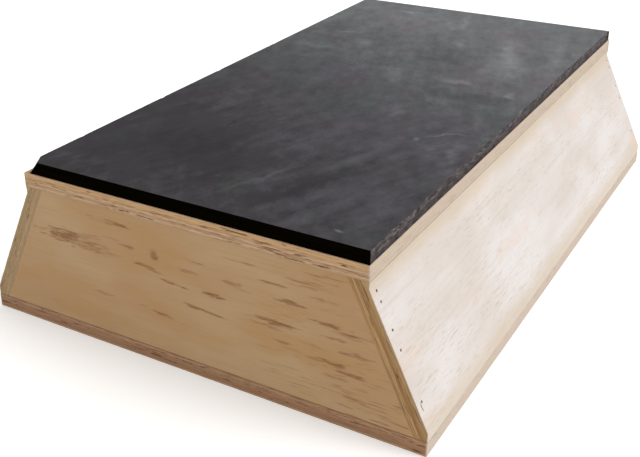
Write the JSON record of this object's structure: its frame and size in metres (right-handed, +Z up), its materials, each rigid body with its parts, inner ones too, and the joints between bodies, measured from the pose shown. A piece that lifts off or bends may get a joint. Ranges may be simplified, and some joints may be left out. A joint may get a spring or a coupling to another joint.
{
  "type": "bench sharpening stone",
  "caption": "Flat slate honing slab bedded on a hollow plywood plinth with upright ends and sloping long sides that widen to the base.",
  "frame": {"origin": "on the bench, under the middle of the base board", "axes": "+Z up out of the honing face, +Y along the slab's length, +X across it, towards the edge where the slab is flush with the deck"},
  "size_m": [0.288, 0.428, 0.1065],
  "materials": {
    "honing_slate": "dark grey slate, honed flat, with cloudy lighter smears, fine scratches and a chipped long edge",
    "bedding_adhesive": "dried thin bed of construction adhesive",
    "deck_plywood": "bare five-ply plywood, sawn edges showing the plies",
    "side_plywood": "bare pale face veneer, fine short grain along the panel, sawn ply edges",
    "end_plywood": "bare tan face veneer with brown flecks",
    "base_plywood": "bare five-ply plywood, sawn edges showing the plies",
    "brad_steel": "dull steel brads, set below the surface"
  },
  "bodies": {
    "root": {"base_board": "base_plywood", "bedding_adhesive": "bedding_adhesive", "brad_base_front_1": "brad_steel", "brad_base_front_2": "brad_steel", "brad_base_front_3": "brad_steel", "brad_base_left_1": "brad_steel", "brad_base_left_2": "brad_steel", "brad_base_left_3": "brad_steel", "brad_base_left_4": "brad_steel", "brad_base_rear_1": "brad_steel", "brad_base_rear_2": "brad_steel", "brad_base_rear_3": "brad_steel", "brad_base_right_1": "brad_steel", "brad_base_right_2": "brad_steel", "brad_base_right_3": "brad_steel", "brad_base_right_4": "brad_steel", "brad_deck_front_1": "brad_steel", "brad_deck_front_2": "brad_steel", "brad_deck_left_1": "brad_steel", "brad_deck_left_2": "brad_steel", "brad_deck_left_3": "brad_steel", "brad_deck_left_4": "brad_steel", "brad_deck_rear_1": "brad_steel", "brad_deck_rear_2": "brad_steel", "brad_deck_right_1": "brad_steel", "brad_deck_right_2": "brad_steel", "brad_deck_right_3": "brad_steel", "brad_deck_right_4": "brad_steel", "brad_front_left_1": "brad_steel", "brad_front_left_2": "brad_steel", "brad_front_left_3": "brad_steel", "brad_front_left_4": "brad_steel", "brad_front_left_5": "brad_steel", "brad_front_right_1": "brad_steel", "brad_front_right_2": "brad_steel", "brad_front_right_3": "brad_steel", "brad_front_right_4": "brad_steel", "brad_front_right_5": "brad_steel", "brad_rear_left_1": "brad_steel", "brad_rear_left_2": "brad_steel", "brad_rear_left_3": "brad_steel", "brad_rear_left_4": "brad_steel", "brad_rear_left_5": "brad_steel", "brad_rear_right_1": "brad_steel", "brad_rear_right_2": "brad_steel", "brad_rear_right_3": "brad_steel", "brad_rear_right_4": "brad_steel", "brad_rear_right_5": "brad_steel", "deck_board": "deck_plywood", "end_panel_front": "end_plywood", "end_panel_rear": "end_plywood", "honing_slab": "honing_slate", "side_panel_left": "side_plywood", "side_panel_right": "side_plywood"}
  },
  "joints": []
}
